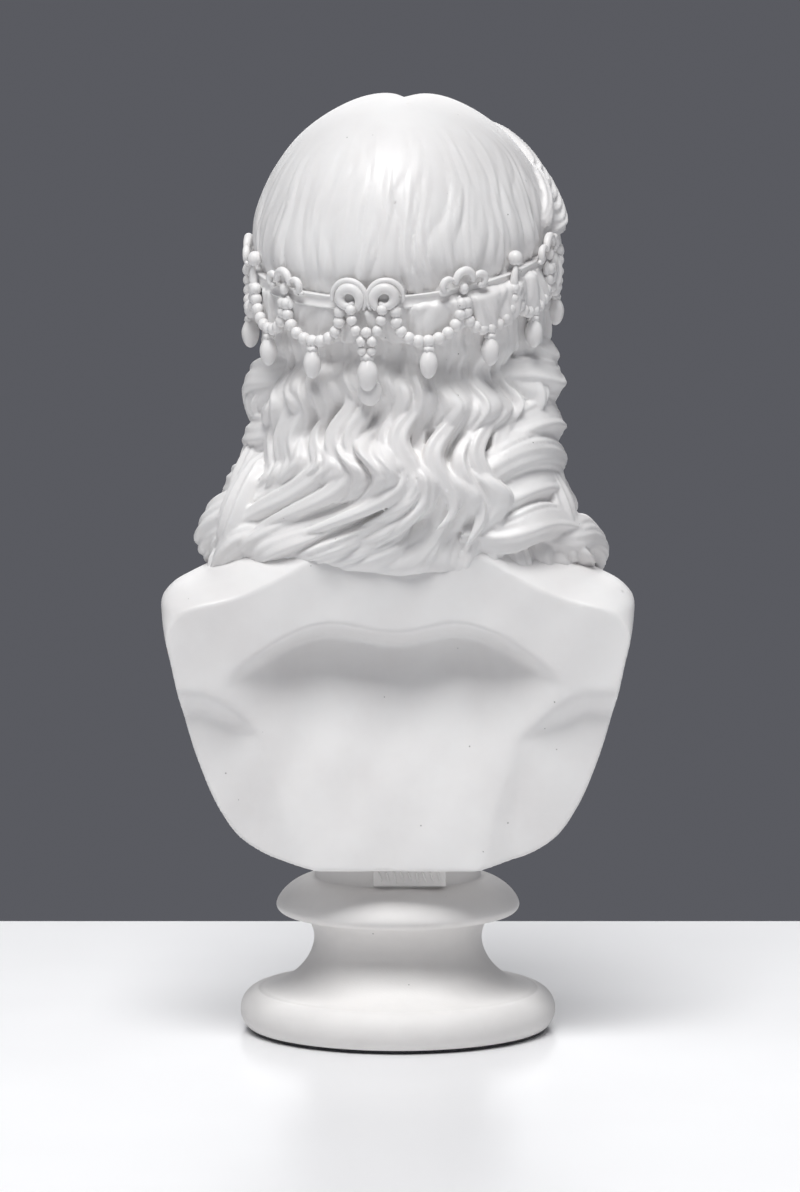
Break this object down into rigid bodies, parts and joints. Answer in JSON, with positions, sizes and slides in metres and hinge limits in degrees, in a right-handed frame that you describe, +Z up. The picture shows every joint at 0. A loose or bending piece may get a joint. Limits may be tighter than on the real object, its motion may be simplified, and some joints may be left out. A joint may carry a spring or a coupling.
{
  "type": "portrait bust",
  "caption": "Classical bust of a woman with long wavy hair and a beaded headband, flat hollowed back, on a round turned socle with a felt pad.",
  "frame": {"origin": "centre of the underside of the felt pad, on the axis of the socle", "axes": "+Z up along the socle's axis; the figure faces -Y and its flat hollowed back is +Y; the figure's own left is +X"},
  "size_m": [0.1774, 0.1345, 0.3566],
  "materials": {
    "marble": "cast marble powder, smooth satin",
    "marble_matt": "cast marble powder, slightly more matt",
    "felt": "thin dark felt"
  },
  "bodies": {
    "root": {"bust": "marble", "socle": "marble_matt", "felt_pad": "felt"}
  },
  "joints": []
}
